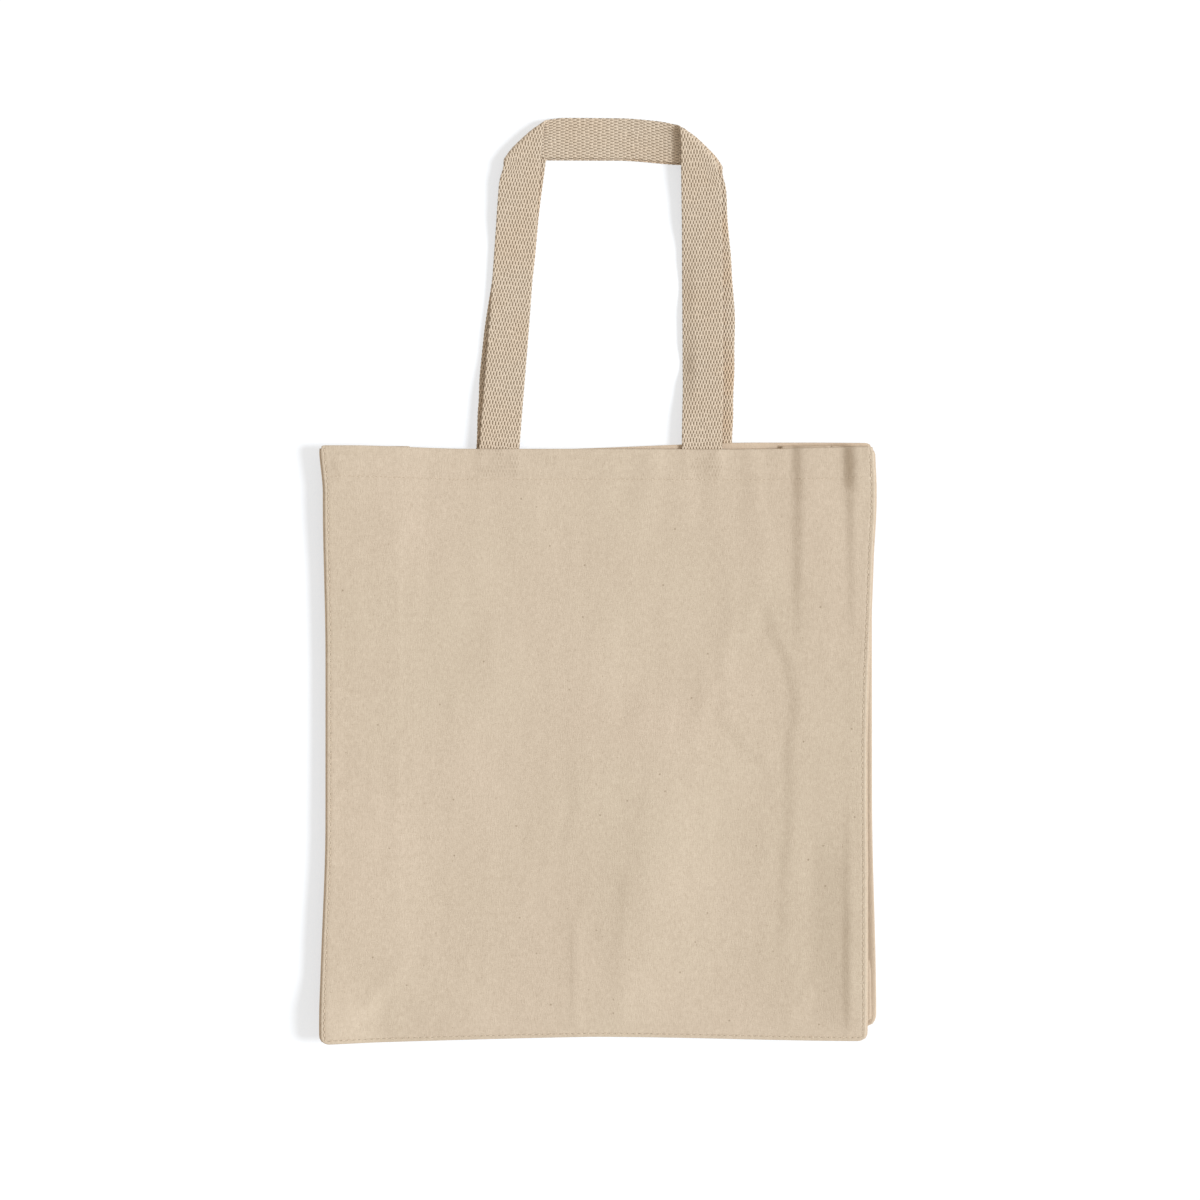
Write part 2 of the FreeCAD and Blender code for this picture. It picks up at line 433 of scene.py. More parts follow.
def half_thickness(d):
    """Half the cloth's thickness at a distance d from a cut or turned edge, rounded off at the edge."""
    near = np.clip(d / 0.5, 0, 1)
    return CLOTH_T / 2 * np.sqrt(1 - (1 - near) ** 2 * 0.97)


def hemmed_rows(coarse):
    """Rows up a panel, over its turned hem and down the flap: shares up it, y beyond them, and turns."""
    height = 2 * HALF_H
    steps = edge_steps(height, coarse)
    up = [y for y in steps if y < height - HEM_FOLD_R - 1.5]
    rows = [(y / height, 0.0, 0.0) for y in up]
    top = 1 - HEM_FOLD_R / height
    rows += [(top, HEM_FOLD_R * math.sin(a), a) for a in np.linspace(0, math.pi, 9)]
    rows += [(top - y / height, 0.0, math.pi) for y in np.linspace(1.5, HEM_H, 9)]
    return [np.array(column)[:, None] for column in zip(*rows)]


def panel(name, edges, base_z, height, flap_side, coarse):
    """A panel with its hem turned towards flap_side."""
    t, beyond, turn = hemmed_rows(coarse)
    s = edge_steps(2 * HALF_W, coarse)[None, :] / (2 * HALF_W)
    x, y = place(edges, s, t)
    z = base_z + height(x, y, s, t) + flap_side * HEM_FOLD_R * (1 - np.cos(turn))
    x, y, z = np.broadcast_arrays(x, y + beyond, z)
    thickness = half_thickness(np.broadcast_to(edge_distance(s, t), x.shape))
    piece = thick_sheet(name, np.stack([x, y, z], axis=2), thickness)
    # Mask for the painted shade of the webbing's imprint, where the hem covers a webbing end
    imprint_shade = over_strap(x, y).ravel() * (flap_side < 0)
    paint = piece.data.attributes.new("strap_imprint_shade", "FLOAT", "POINT")
    paint.data.foreach_set("value", np.concatenate([imprint_shade, imprint_shade]).astype(np.float32))
    return piece


def edge_shares(d, count, out=0.0):
    """Shares (s, t) along a line d inside the seamed edges: down the left, along the bottom, up the right.
    Along the two sides the line lies further out by out."""
    sx, ty = (d - out) / (2 * HALF_W), d / (2 * HALF_H)
    top = 1 - 1.2 / (2 * HALF_H)
    down = np.linspace(top, ty, count)
    along = np.linspace(sx, 1 - sx, count)
    s = np.concatenate([np.full(count, sx), along[1:], np.full(count - 1, 1 - sx)])
    t = np.concatenate([down, np.full(count - 1, ty), down[::-1][1:]])
    return s, t


def seam_turn(name, edges, base_z, height, side):
    """The gusset's own turned edge, sewn under a panel's edge on three sides. It shows beside the panel."""
    rows = []
    for d in (0.25, 0.8, 1.6, 2.4, 3.0, 3.6, 4.4):     # distances in from the panel's edge
        s, t = edge_shares(d, 120, SEAM_SHOWS * (1 - smooth(d / 3.0)))
        x, y = place(edges, s, t)
        pinch = 0.25 * (1 - smooth(d / 1.2)) + 0.12 * bell(d - SEAM_INSET, 0.6)
        z = base_z + height(x, y, s, t) + side * (CLOTH_T - pinch)
        rows.append(np.stack([x, y, z], axis=1))
    middle = np.array(rows)
    thickness = half_thickness(np.array([0.05, 0.4, 1, 1, 1, 0.4, 0.05]))[:, None]
    return thick_sheet(name, middle, thickness)


# ---------------------------------------------------------------- stitches
# One stitch is a tube through ten rings. REACH is where they lie along it, in stitch lengths, ARCH is how
# high they lie, in thread widths, and WIDTH is how wide they are, in thread radii.
REACH = np.array([-0.49, -0.42, -0.36, -0.30, -0.12, 0.12, 0.30, 0.36, 0.42, 0.49])
ARCH = np.array([-0.45, -0.25, -0.1, 0.15, 0.42, 0.42, 0.15, -0.1, -0.25, -0.45])
WIDTH = np.array([0.8, 1.1, 1.0, 0.9, 1.0, 1.0, 0.9, 1.0, 1.1, 0.8])
THREAD_SIDES = 6


def stitches(name, path, pitch, side, radius):
    """Separate stitches along a dense path of surface points, on top of the cloth (+1) or under it (-1)."""
    sides = THREAD_SIDES
    gaps = np.linalg.norm(np.diff(path, axis=0), axis=1)
    length = np.concatenate([[0.0], np.cumsum(gaps)])
    count = int(length[-1] / pitch)
    reach = REACH * pitch
    arch = ARCH * 2 * radius
    width = WIDTH * radius
    # Painted shade at each stitch's ends, where it dives into its needle hole
    dark = np.clip((np.abs(reach) / pitch - 0.30) / 0.06, 0, 1)
    points, faces, hole_shades = [], [], []
    random = np.random.default_rng(19)
    for k in range(count):
        centre = (k + 0.5) * pitch + random.uniform(-0.12, 0.12)
        at = [np.interp(centre + reach, length, path[:, axis]) for axis in range(3)]
        tangent = np.array([at[0][-1] - at[0][0], at[1][-1] - at[1][0]])
        tangent /= np.linalg.norm(tangent)
        across = np.array([-tangent[1], tangent[0]])
        lean = random.uniform(-0.10, 0.10)
        first = len(points)
        for i in range(len(reach)):
            for j in range(sides):
                a = math.tau * j / sides
                out = width[i] * math.cos(a) + lean * reach[i]
                up = side * (arch[i] + width[i] * math.sin(a))
                points.append((at[0][i] + across[0] * out, at[1][i] + across[1] * out, at[2][i] + up))
                hole_shades.append(dark[i])
        for i in range(len(reach) - 1):
            for j in range(sides):
                a, b = first + i * sides + j, first + i * sides + (j + 1) % sides
                faces.append((a, b, b + sides, a + sides))
        faces.append(tuple(first + j for j in range(sides))[::-1])
        faces.append(tuple(first + (len(reach) - 1) * sides + j for j in range(sides)))
    piece = make_object(name, points, faces)
    paint = piece.data.attributes.new("needle_hole_shade", "FLOAT", "POINT")
    paint.data.foreach_set("value", np.array(hole_shades, dtype=np.float32))
    return piece


def edge_path(edges, base_z, height, side):
    """Where the stitches round a panel's three seamed edges run."""
    s, t = edge_shares(STITCH_INSET, 500)
    x, y = place(edges, s, t)
    return np.stack([x, y, base_z + height(x, y, s, t) + side * CLOTH_T / 2], axis=1)


def hem_path(edges, base_z, height, side):
    """Where the hem's stitches run, from seam to seam and just above the hem's lower edge."""
    end = 0.012
    s = np.linspace(end, 1 - end, 1200)
    t = np.full_like(s, 1 - (HEM_H - 1.0) / (2 * HALF_H))
    x, y = place(edges, s, t)
    return np.stack([x, y, base_z + height(x, y, s, t) + side * CLOTH_T / 2], axis=1)


# ---------------------------------------------------------------- gusset
SPLIT_X = 155.0          # where the side gusset's seam pieces meet its creased piece
SPLIT_Y = -169.0         # the same on the bottom gusset
TUCK = 1.0               # how far the gusset reaches past its seam
BELOW_BLEND = (0.0, 3.9)  # the heights that each half of a creased piece keeps to
ABOVE_BLEND = (6.2, 40.0)


def gusset_curve(seam, crease, heights, shares):
    """One half's cross-section: (distance, height) from its seam (share 0) to its crease (share 1).
    heights are the seam's, the flat middle's and the crease's."""
    seam_z, flat_z, crease_z = heights
    near_seam = (flat_z - seam_z) * smooth(shares / 0.3)
    near_crease = (crease_z - flat_z) * smooth((shares - 0.2) / 0.8)
    return seam + (crease - seam) * shares, seam_z + near_seam + near_crease


def gusset_pieces(name, low, high, crease, split, inward, upright, thickness):
    """A gusset as a piece at each seam and the creased piece between them.
    low and high hold each half's seam line, its levels along the seam, its heights, their limits and its
    panel's lift. Distances are across the gusset. upright is true when its levels run up the bag."""
    near = np.linspace(0, 1, 15)
    turn = np.linspace(-math.pi / 2, math.pi / 2, 9)[1:-1]

    def lifted(half, distance, level):
        x, y = (distance, level) if upright else (level, distance)
        return half["lift"](x, y)

    def section(half, row, at_seam):
        seam, level = half["seam"][row], half["level"][row]
        share = (split - seam) / (crease - seam)
        shares = near * share if at_seam else share + (1 - share) * near
        distance, z = gusset_curve(seam, crease, half["heights"], shares)
        levels = np.full_like(distance, level)
        return distance, levels, np.clip(z + lifted(half, distance, levels), *half["limits"])

    def creased(row):
        low_part, high_part = section(low, row, False), section(high, row, False)
        low_z, high_z = low_part[2][-1], high_part[2][-1]
        radius = (high_z - low_z) / 2
        way = (1 + np.sin(turn)) / 2
        round_it = (
            crease + inward * 0.6 * radius * np.cos(turn),
            low["level"][row] + (high["level"][row] - low["level"][row]) * way,
            low_z + 2 * radius * way,
        )
        return [np.concatenate([a, b, c[::-1]]) for a, b, c in zip(low_part, round_it, high_part)]

    def strip(part, sections):
        grid = np.array([np.stack(points, axis=1) for points in sections])
        if not upright:
            grid = grid[..., [1, 0, 2]]
        return thick_sheet(f"{name}_{part}", grid, thickness)

    rows = range(len(low["seam"]))
    return {
        "back": strip("back_edge", [section(low, row, True) for row in rows]),
        "front": strip("front_edge", [section(high, row, True) for row in rows]),
        "fold": strip("fold", [creased(row) for row in rows]),
    }


def side_gusset(side):
    """The left (-1) or right (+1) gusset. Below a panel's corner its seam draws in out of sight.
    Its front seam reaches as far past the fold line as the panel rises, to meet it when the bag opens."""
    label = "left" if side < 0 else "right"
    level = np.linspace(FRONT_EDGES["bottom"](side) + 3.5, HALF_H - 1.0, 110)
    halves = []
    for edges, heights, limits, lift in (
        (BACK_EDGES, (1.5, 2.6, 2.5), BELOW_BLEND, back_lift),
        (FRONT_EDGES, (FLAT_THICK - 1.7, FLAT_THICK - 3.0, FLAT_THICK - 4.2), ABOVE_BLEND, front_lift),
    ):
        seam = side * edges[label](level / HALF_H) - (SEAM_INSET - TUCK)
        if lift is front_lift:
            raised = lift(np.full_like(level, side * SEAM_X), level)
            seam = np.minimum(seam, SEAM_X + np.clip(raised + 0.6, 0, None))
        cut = smooth((edges["bottom"](side) + 6.0 - level) / 4)
        seam = side * (seam + (np.minimum(seam, HALF_W - 3.0) - seam) * cut)
        halves.append({"seam": seam, "level": level, "heights": heights, "limits": limits, "lift": lift})
    hem = smooth((level - HALF_H + HEM_H) / 0.5)
    thickness = (CLOTH_T / 2 * (1 + 0.5 * hem))[:, None]
    crease, split = side * CREASE_X, side * SPLIT_X
    return gusset_pieces(f"{label}_gusset", *halves, crease, split, -side, True, thickness)


def bottom_gusset():
    level = np.linspace(FRONT_EDGES["left"](-1.0) + 4.5, FRONT_EDGES["right"](-1.0) - 4.5, 110)
    halves = []
    for edges, heights, limits, lift in (
        (BACK_EDGES, (1.5, 1.8, 2.0), BELOW_BLEND, back_lift),
        (FRONT_EDGES, (FLAT_THICK - 1.7, FLAT_THICK - 1.9, FLAT_THICK - 2.1), ABOVE_BLEND, front_lift),
    ):
        seam = np.maximum(edges["bottom"](level / HALF_W) + 0.7, SEAM_Y - 0.6)
        halves.append({"seam": seam, "level": level, "heights": heights, "limits": limits, "lift": lift})
    return gusset_pieces("bottom_gusset", *halves, CREASE_Y, SPLIT_Y, 0.3, False, CLOTH_T / 2)


# ---------------------------------------------------------------- webbing handles
# How each handle lies, in millimetres. "grip_y" is the grip's middle line. "top" and "root" are where the two
# legs' middle lines start and end. The others are (place, value) points: "bow" moves a leg
# sideways, "leg_z" and "grip_z" are heights, "sag" bends the grip down, "droop" lets a leg's left side hang
# towards the floor and "tilt" raises its right side. "corner" is how far the sharp corners are drawn in.
FRONT_HANDLE = {
    "grip_y": 399.3,
    "top": (-47.8, 69.8),
    "root": (-64.3, 70.5),
    "bow": ([(195, 0.0), (275, 0.35), (398, 0.0)], [(195, 0.0), (240, 0.8), (330, 0.6), (398, 0.0)]),
    "leg_z": (
        [(177, 7.1), (200, 7.4), (225, 7.2), (262, 4.4), (300, 3.1), (325, 3.3), (352, 6.0), (385, 7.8)],
        [(177, 7.0), (200, 7.6), (226, 7.4), (258, 5.6), (300, 4.5), (325, 4.3), (355, 7.0), (385, 9.2)],
    ),
    "grip_z": [(-48, 4.7), (-15, 3.6), (28, 2.5), (42, 2.6), (66, 5.0)],
    "sag": [(-40, 0.0), (15, -0.2), (62, -3.4)],
    "droop": (
        [(177, 0.0), (400, 0.0)],
        [(212, 0.0), (234, 2.0), (249, 3.9), (266, 2.2), (285, 1.4), (301, 2.3), (322, 0.8), (345, 0.0)],
    ),
    "tilt": (
        [(177, 0.0), (400, 0.0)],
        [(197, 0.0), (215, 0.6), (250, 1.1), (272, 0.7), (301, 1.0), (330, 0.7), (380, 0.4)],
    ),
    "corner": 2.4,
}
BACK_HANDLE = {
    "grip_y": 398.0,
    "top": (-44.0, 72.3),
    "root": (-66.8, 77.6),
    "bow": (
        [(195, 0.0), (222, -1.6), (245, -2.8), (268, -2.8), (314, -0.9), (350, -1.2), (385, -0.3)],
        [(195, 0.0), (222, 1.4), (254, 3.0), (282, 4.0), (314, 2.6), (354, 0.6), (385, 0.3)],
    ),
    "leg_z": (
        [(177, 2.9), (200, 3.1), (225, 3.2), (262, 1.1), (300, 0.5), (340, 1.2), (385, 3.0)],
        [(177, 3.9), (200, 4.0), (225, 3.8), (262, 1.4), (300, 0.5), (340, 1.4), (385, 3.2)],
    ),
    "grip_z": [(-44, 0.5), (72, 0.6)],
    "sag": [(-40, 0.0), (15, -0.2), (62, -3.2)],
    "droop": ([(195, 1.2), (225, 2.2), (262, 0.5), (300, 0.0)], [(177, 0.0), (400, 0.0)]),
    "tilt": ([(177, 0.0), (400, 0.0)], [(177, 0.0), (400, 0.0)]),
    "corner": 2.4,
}


def soften_corner(x, y, corner, inward, depth, reach=8.0):
    """Draws the points round a folded strap's sharp corner inwards."""
    pull = depth * bell(np.hypot(x - corner[0], y - corner[1]), reach)
    return x + inward[0] * pull, y + inward[1] * pull


def webbing_grid(start, end):
    """The flat webbing's points, (along, across), close enough together to carry its weave."""
    half_w = WEBBING_W / 2
    along = np.arange(start, end, WEAVE_LENGTH / 7)
    inner = np.arange(-12, 12.01, 0.5) * WEAVE_WIDTH / 2
    rim = np.array([0.0, 0.12, 0.4, 0.7])
    across = np.concatenate([rim - half_w, inner, half_w - rim[::-1]])
    flat_x, flat_y = np.meshgrid(along, across, indexing="ij")
    scallop = 0.14 * np.cos(flat_x / WEAVE_LENGTH * math.tau * 2) * (np.abs(flat_y) / half_w) ** 6
    return flat_x, flat_y * (1 + scallop / half_w)


def fold_leg(x, y, z, grip_z, lie, i, root_y):
    """Turns one end of the webbing over at its corner and lays it along leg i, 0 the left or 1 the right."""
    half_w = WEBBING_W / 2
    side = (-1.0, 1.0)[i]
    grip_y, top, root, leg_z = lie["grip_y"], lie["top"][i], lie["root"][i], lie["leg_z"][i]
    drop = grip_y - root_y
    leg = np.array([root - top, -drop])
    leg /= np.linalg.norm(leg)
    crease = leg + np.array([side, 0.0])
    crease /= np.linalg.norm(crease)
    out = np.array([crease[1], -crease[0]]) * side
    out = out if out[1] > 0 else -out
    radius = float(follow(grip_y, leg_z) - follow(top, lie["grip_z"])) / 2
    delta = (x - top) * out[0] + (y - grip_y) * out[1] + math.pi / 2 * radius
    turn = np.clip(delta / radius, 0, math.pi)
    beyond = np.maximum(delta - math.pi * radius, 0)
    shift = np.where(delta > 0, radius * np.sin(turn) - beyond - delta, 0.0)
    x, y = x + shift * out[0], y + shift * out[1]
    risen = (1 - np.cos(turn)) / 2
    z = z + risen * (follow(y, leg_z) - grip_z)
    across_leg = (x - (top + (root - top) * (grip_y - y) / drop)) / half_w
    z = z - risen * follow(y, lie["droop"][i]) * smooth((-0.25 - across_leg) / 0.75)
    z = z + risen * follow(y, lie["tilt"][i]) * across_leg
    x = x + risen * follow(y, lie["bow"][i])
    outer, inner = top + side * half_w, top - side * half_w
    x, y = soften_corner(x, y, (outer, grip_y - half_w - 4), (-0.92 * side, -0.39), lie["corner"])
    x, y = soften_corner(x, y, (inner, grip_y + half_w), (-0.39 * side, -0.92), lie["corner"] * 0.7)
    return x, y, z


def handle(name, lie, root_y):
    """Webbing from behind the hem, up, folded over at 45 degrees, across the grip and down again.
    The grip lies behind both legs."""
    grip_y = lie["grip_y"]
    ends = []
    for top, root in zip(lie["top"], lie["root"]):
        ends.append(math.hypot(top - root, grip_y - root_y) + 4.0)
    flat_x, flat_y = webbing_grid(lie["top"][0] - ends[0], lie["top"][1] + ends[1])
    x, y = flat_x.copy(), grip_y + flat_y
    grip_z = follow(flat_x, lie["grip_z"])
    z = grip_z.copy()
    for i in (0, 1):
        x, y, z = fold_leg(x, y, z, grip_z, lie, i, root_y)
    y = y + follow(x, lie["sag"]) * smooth((y - 300) / 60)
    edge = WEBBING_W / 2 - np.abs(flat_y)
    half = WEBBING_T / 2 * np.sqrt(1 - (1 - np.clip(edge / 0.9, 0, 1)) ** 2 * 0.9)
    middle = np.stack([x, y, z], axis=2)
    floats = np.cos(flat_x * math.tau / WEAVE_LENGTH) * np.cos(flat_y * math.tau / WEAVE_WIDTH)
    middle = middle + normals(middle) * (YARN_RELIEF * floats * smooth(edge / 1.2))[..., None]
    piece = thick_sheet(name, middle, half)
    face = np.stack([flat_x, flat_y, np.zeros_like(flat_x)], axis=2).reshape(-1, 3)
    under = face + (WEAVE_LENGTH / 2, 0, 0)
    paint = piece.data.attributes.new("flat_place", "FLOAT_VECTOR", "POINT")
    paint.data.foreach_set("vector", np.concatenate([face, under]).ravel().astype(np.float32))
    return piece


# ---------------------------------------------------------------- materials
class Nodes:
    """A short way to build a material's nodes."""

    def __init__(self, name):
        self.material = bpy.data.materials.new(name)
        self.material.use_nodes = True
        self.tree = self.material.node_tree
        self.tree.nodes.clear()
        self.shader = self.tree.nodes.new("ShaderNodeBsdfPrincipled")
        output = self.tree.nodes.new("ShaderNodeOutputMaterial")
        self.tree.links.new(self.shader.outputs[0], output.inputs["Surface"])

    def put(self, value, socket):
        """Links a socket to another node's output, or sets its value."""
        if isinstance(value, bpy.types.NodeSocket):
            self.tree.links.new(value, socket)
        else:
            socket.default_value = value

    def math(self, operation, *values):
        node = self.tree.nodes.new("ShaderNodeMath")
        node.operation = operation
        for value, socket in zip(values, node.inputs):
            self.put(value, socket)
        return node.outputs[0]

    def position(self, scale=(1, 1, 1)):
        """The point on the object in metres, scaled."""
        coordinates = self.tree.nodes.new("ShaderNodeTexCoord")
        mapping = self.tree.nodes.new("ShaderNodeMapping")
        self.put(coordinates.outputs["Object"], mapping.inputs["Vector"])
        mapping.inputs["Scale"].default_value = scale
        return mapping.outputs[0]

    def attribute(self, name):
        node = self.tree.nodes.new("ShaderNodeAttribute")
        node.attribute_name = name
        return node

    def wave(self, axis, length):
        """A cosine along one axis of the object, repeating every length millimetres."""
        split = self.tree.nodes.new("ShaderNodeSeparateXYZ")
        self.put(self.position(), split.inputs[0])
        return self.math("COSINE", self.math("MULTIPLY", split.outputs[axis], math.tau / (length * MM)))

    def noise(self, scale, detail=2.0):
        """Noise with its own size along each axis, as (1 / metres)."""
        node = self.tree.nodes.new("ShaderNodeTexNoise")
        self.put(self.position(scale), node.inputs["Vector"])
        node.inputs["Scale"].default_value = 1.0
        node.inputs["Detail"].default_value = detail
        return node.outputs["Fac"]

    def ramp(self, value, low, high, low_to=0.0, high_to=1.0):
        """value from low to high becomes low_to to high_to, and stays there outside."""
        node = self.tree.nodes.new("ShaderNodeMapRange")
        for socket, amount in zip(node.inputs[:5], (value, low, high, low_to, high_to)):
            self.put(amount, socket)
        return node.outputs[0]

    def mix(self, share, a, b):
        node = self.tree.nodes.new("ShaderNodeMix")
        node.data_type = "RGBA"
        self.put(share, node.inputs[0])
        self.put(a, node.inputs[6])
        self.put(b, node.inputs[7])
        return node.outputs[2]

    def bump(self, height, depth, strength=1.0):
        node = self.tree.nodes.new("ShaderNodeBump")
        node.inputs["Distance"].default_value = depth
        node.inputs["Strength"].default_value = strength
        self.put(height, node.inputs["Height"])
        self.put(node.outputs[0], self.shader.inputs["Normal"])

    def flecks(self, cell, size, share):
        """Scattered specks, 1 inside one. cell is their spacing and share how many cells have one."""
        node = self.tree.nodes.new("ShaderNodeTexVoronoi")
        self.put(self.position((1 / cell, 1 / cell, 1 / cell)), node.inputs["Vector"])
        node.inputs["Scale"].default_value = 1.0
        chosen = self.math("LESS_THAN", self.channel(node.outputs["Color"]), share)
        near = self.ramp(node.outputs["Distance"], size / cell, 0.4 * size / cell)
        return self.math("MULTIPLY", chosen, near)

    def channel(self, colour):
        node = self.tree.nodes.new("ShaderNodeSeparateColor")
        self.put(colour, node.inputs[0])
        return node.outputs[0]


def cloth_finish(nodes, sheen):
    """Matt cotton, with a little sheen from its loose fibres."""
    nodes.shader.inputs["Roughness"].default_value = 0.92
    nodes.shader.inputs["Specular IOR Level"].default_value = 0.1
    nodes.shader.inputs["Sheen Weight"].default_value = sheen
    nodes.shader.inputs["Sheen Roughness"].default_value = 0.5


CANVAS_LIGHT = (0.690, 0.573, 0.446, 1)
CANVAS_GREEN = (0.680, 0.575, 0.441, 1)
CANVAS_DARK = (0.535, 0.434, 0.325, 1)
# Painted shade: a warmer, darker canvas tone for the pieces that lie in shade
CANVAS_WARM_SHADE = (0.69, 0.53, 0.385, 1)
# Seed husk specks, and also painted shade in the webbing's imprint under the hem
SEED_HUSK_AND_SHADE = (0.20, 0.13, 0.07, 1)
YARN_DARK = (0.605, 0.488, 0.364, 1)
YARN_LIGHT = (0.76, 0.636, 0.499, 1)
# Painted bounce light: a warm yarn tone for the webbing's shade
YARN_WARM_SHADE = (0.675, 0.501, 0.342, 1)
# Painted shade in the webbing's dimples
YARN_GAP_SHADE = (0.19, 0.13, 0.07, 1)
THREAD_DARK = (0.60, 0.49, 0.37, 1)
THREAD_LIGHT = (0.76, 0.65, 0.51, 1)
# Painted shade in the needle holes
NEEDLE_HOLE_SHADE = (0.20, 0.145, 0.09, 1)


def strap_imprint_shade(n, base):
    """Painted shade of the webbing's weave, faintly pressed through the canvas that covers it: its dimples
    are darkened.
    """
    lattice = n.math("MULTIPLY", n.wave(1, WEAVE_LENGTH), n.wave(0, WEAVE_WIDTH))
    covered = n.attribute("strap_imprint_shade").outputs["Fac"]
    imprint_shade = n.math("MULTIPLY", covered, n.ramp(lattice, 0.0, -0.8, 0.02, 0.34))
    imprint_shade = n.math("MULTIPLY", imprint_shade, n.ramp(n.noise((120, 90, 120), 2.0), 0.35, 0.65))
    return n.mix(imprint_shade, base, SEED_HUSK_AND_SHADE)


def canvas(name, shade_warmth=0.0):
    """Natural cotton canvas: a plain weave of uneven yarns, faintly mottled, with specks of seed husk.
    Its second argument mixes in a warmer, darker tone: painted shade with warm bounced light, for pieces that
    lie in shade.
    """
    n = Nodes(name)
    warp = n.noise((1500, 330, 330), 2.0)
    weft = n.noise((330, 1500, 330), 2.0)
    grain = n.noise((1900, 1900, 1900), 2.0)
    clumps = n.noise((420, 300, 420), 2.0)
    mottle = n.noise((34, 16, 34), 3.0)
    yarns = n.math("ADD", n.math("MULTIPLY", warp, 0.55), n.math("MULTIPLY", weft, 0.45))
    slub = n.math("ADD", n.math("MULTIPLY", yarns, 0.6), n.math("MULTIPLY", grain, 0.4))
    uneven = n.math("ADD", n.math("MULTIPLY", clumps, 0.6), n.math("MULTIPLY", mottle, 0.4))
    tint = n.math("ADD", n.math("MULTIPLY", slub, 0.65), n.math("MULTIPLY", uneven, 0.35))
    shade = n.ramp(tint, 0.36, 0.64)
    light = n.mix(n.ramp(n.noise((9, 9, 9), 1.0), 0.35, 0.65), CANVAS_LIGHT, CANVAS_GREEN)
    base = n.mix(shade, CANVAS_DARK, light)
    # Painted shade: the warmer, darker tone stands in for the bounced light in shade
    base = n.mix(shade_warmth, base, CANVAS_WARM_SHADE)
    specks = n.flecks(0.0105, 0.00085, 0.42)
    dust = n.flecks(0.0047, 0.0006, 0.20)
    base = n.mix(n.math("MULTIPLY", specks, 0.5), base, SEED_HUSK_AND_SHADE)
    base = n.mix(n.math("MULTIPLY", dust, 0.3), base, SEED_HUSK_AND_SHADE)
    # Painted shade of the webbing's imprint under the hem
    n.put(strap_imprint_shade(n, base), n.shader.inputs["Base Color"])
    n.bump(slub, 0.0006, 0.9)
    cloth_finish(n, 0.04)
    return n.material


def webbing_cloth(name, shade_warmth):
    """Cotton webbing: long yarn floats in staggered rows, with painted shade darkening the dimples where the
    yarns dive.
    """
    n = Nodes(name)
    split = n.tree.nodes.new("ShaderNodeSeparateXYZ")
    n.put(n.attribute("flat_place").outputs["Vector"], split.inputs[0])
    wander = n.ramp(n.noise((220, 220, 220), 2.0), 0.3, 0.7, -0.8, 0.8)
    along = n.math("MULTIPLY", split.outputs[0], math.tau / WEAVE_LENGTH)
    across = n.math("MULTIPLY", split.outputs[1], math.tau / WEAVE_WIDTH)
    rows = n.ramp(n.math("COSINE", n.math("ADD", along, wander)), -0.62, 0.62, -1.0, 1.0)
    floats = n.math("MULTIPLY", rows, n.math("COSINE", across))
    # Painted shade: the dimples where the yarns dive, darkened below
    dimple = n.ramp(floats, -0.36, -1.0)
    fibre = n.noise((1100, 1100, 1100), 3.0)
    yarn = n.mix(n.ramp(fibre, 0.3, 0.7), YARN_DARK, YARN_LIGHT)
    # Painted bounce light: warm patches stand in for light thrown from the canvas into the webbing's shade
    warm = n.mix(n.ramp(n.noise((30, 30, 30), 2.0), 0.4, 0.7), yarn, YARN_WARM_SHADE)
    toned = n.mix(shade_warmth, yarn, warm)
    n.put(n.mix(n.math("MULTIPLY", dimple, 0.87), toned, YARN_GAP_SHADE), n.shader.inputs["Base Color"])
    relief = n.math("ADD", n.math("MULTIPLY", floats, 0.5), n.math("MULTIPLY", fibre, 0.25))
    n.bump(relief, 0.0006)
    cloth_finish(n, 0.05)
    return n.material


def thread(name, hole_shade_depth):
    """Cotton thread, with painted shade where it dives into its needle holes."""
    n = Nodes(name)
    ply = n.noise((1500, 1500, 1500), 1.0)
    cotton = n.mix(n.ramp(ply, 0.35, 0.65), THREAD_DARK, THREAD_LIGHT)
    # Painted shade: darker towards the needle holes at the stitch ends
    hole_shade = n.math("MULTIPLY", n.attribute("needle_hole_shade").outputs["Fac"], hole_shade_depth)
    n.put(n.mix(hole_shade, cotton, NEEDLE_HOLE_SHADE), n.shader.inputs["Base Color"])
    n.bump(ply, 0.0002, 0.6)
    cloth_finish(n, 0.1)
    return n.material


def floor_paper():
    """A white studio sweep, lit a little from within so that shadows on it stay pale."""
    n = Nodes("floor_paper")
    n.put((0.48, 0.48, 0.48, 1), n.shader.inputs["Base Color"])
    n.shader.inputs["Roughness"].default_value = 1.0
    n.shader.inputs["Specular IOR Level"].default_value = 0.0
    n.shader.inputs["Emission Color"].default_value = (0.92, 0.955, 1.0, 1)
    n.shader.inputs["Emission Strength"].default_value = 0.58
    return n.material


# ---------------------------------------------------------------- studio
def camera():
    """Straight above the bag, with a long lens for little perspective. Places here are in metres."""
    data = bpy.data.cameras.new("camera")
    rig = bpy.data.objects.new("camera", data)
    bpy.context.scene.collection.objects.link(rig)
    distance = 3.0
    view_width = 0.792
    middle_x, middle_y = 0.0033, 0.0947
    data.sensor_width = 36.0
    data.lens = data.sensor_width * distance / view_width
    rig.location = (middle_x, middle_y, distance)
    data.clip_end = 20.0
    bpy.context.scene.camera = rig


